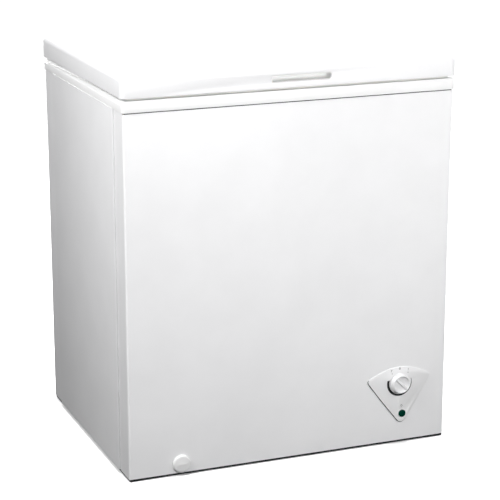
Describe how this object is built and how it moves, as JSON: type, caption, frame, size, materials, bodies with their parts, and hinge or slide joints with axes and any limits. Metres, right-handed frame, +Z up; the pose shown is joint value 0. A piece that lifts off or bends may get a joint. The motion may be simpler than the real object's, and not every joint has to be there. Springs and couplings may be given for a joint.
{
  "type": "chest freezer",
  "caption": "Compact white chest freezer with a hinged foamed lid, stepped tub, sliding wire basket, front dial thermostat, drain spout and rear compressor bay.",
  "frame": {"origin": "on the floor under the middle of the freezer's overall box", "axes": "+Z up, +X to the freezer's right hand as seen from the front, front towards -Y"},
  "size_m": [0.7334, 0.5982, 0.845],
  "materials": {
    "white_enamel": "satin",
    "white_plastic": "satin",
    "grey_plastic": "satin",
    "dark_plastic": "matte",
    "green_lens": "gloss",
    "rubber": "matte",
    "gasket_vinyl": "matte",
    "insulation_foam": "matte",
    "zinc_steel": "satin",
    "black_steel": "satin",
    "copper": "satin",
    "aluminium": "satin",
    "white_wire": "satin"
  },
  "bodies": {
    "cabinet": {"front_panel": "white_enamel", "back_panel": "white_enamel", "left_side_panel": "white_enamel", "right_side_panel": "white_enamel", "top_frame": "white_plastic", "control_housing": "white_plastic", "drain_pipe": "white_plastic", "control_plate": "grey_plastic", "foot_front_left": "dark_plastic", "foot_front_right": "dark_plastic", "foot_rear_left": "dark_plastic", "foot_rear_right": "dark_plastic", "compressor_grille": "dark_plastic", "mains_lead_gland": "dark_plastic", "relay_cover": "dark_plastic", "indicator_lamp": "green_lens", "rubber_mount_1": "rubber", "rubber_mount_2": "rubber", "rubber_mount_3": "rubber", "rubber_mount_4": "rubber", "lower_foam": "insulation_foam", "upper_foam": "insulation_foam", "base_pan": "zinc_steel", "thermostat_body": "zinc_steel", "hinge_bracket_left": "zinc_steel", "hinge_bracket_right": "zinc_steel", "hinge_pin_left": "zinc_steel", "hinge_pin_right": "zinc_steel", "grille_screw_1": "zinc_steel", "grille_screw_2": "zinc_steel", "hinge_screw_left_1": "zinc_steel", "hinge_screw_left_2": "zinc_steel", "hinge_screw_right_1": "zinc_steel", "hinge_screw_right_2": "zinc_steel", "compressor": "black_steel", "compressor_mounting_plate": "black_steel", "hinge_spring_left": "black_steel", "hinge_spring_right": "black_steel", "suction_line": "copper", "discharge_line": "copper", "filter_drier": "copper", "condenser_coil_left": "copper", "condenser_coil_right": "copper", "thermostat_capillary": "copper", "inner_liner": "aluminium", "evaporator_coil": "aluminium"},
    "lid": {"lid_outer_shell": "white_enamel", "lid_foam": "insulation_foam", "lid_inner_panel": "white_plastic", "lid_gasket": "gasket_vinyl", "handle_insert": "white_plastic", "hinge_arm_left": "zinc_steel", "hinge_arm_right": "zinc_steel"},
    "thermostat_dial": {"thermostat_knob": "grey_plastic", "thermostat_shaft": "zinc_steel"},
    "drain_slider": {"drain_spout": "white_plastic"},
    "drain_dial": {"drain_cap": "white_plastic"},
    "tub_plug": {"tub_drain_plug": "rubber"},
    "basket": {"wire_basket": "white_wire"}
  },
  "joints": [
    {"name": "lid_hinge", "type": "hinge", "parent": "cabinet", "child": "lid", "pos_m": [0, 0.2911, 0.8], "axis": [-1, 0, 0], "range_deg": [0, 80]},
    {"name": "thermostat_turn", "type": "hinge", "parent": "cabinet", "child": "thermostat_dial", "pos_m": [0.2526, -0.2939, 0.138], "axis": [0, 1, 0], "range_deg": [-300, 0]},
    {"name": "drain_pull", "type": "slide", "parent": "cabinet", "child": "drain_slider", "axis": [0, -1, 0], "range_m": [0, 0.05]},
    {"name": "drain_turn", "type": "hinge", "parent": "drain_slider", "child": "drain_dial", "pos_m": [-0.2485, -0.2869, 0.026], "axis": [0, 1, 0], "range_deg": [0, 180]},
    {"name": "tub_plug_lift", "type": "slide", "parent": "cabinet", "child": "tub_plug", "axis": [0, 0, 1], "range_m": [0, 0.05]},
    {"name": "basket_slide", "type": "slide", "parent": "cabinet", "child": "basket", "axis": [-1, 0, 0], "range_m": [0, 0.36]}
  ]
}
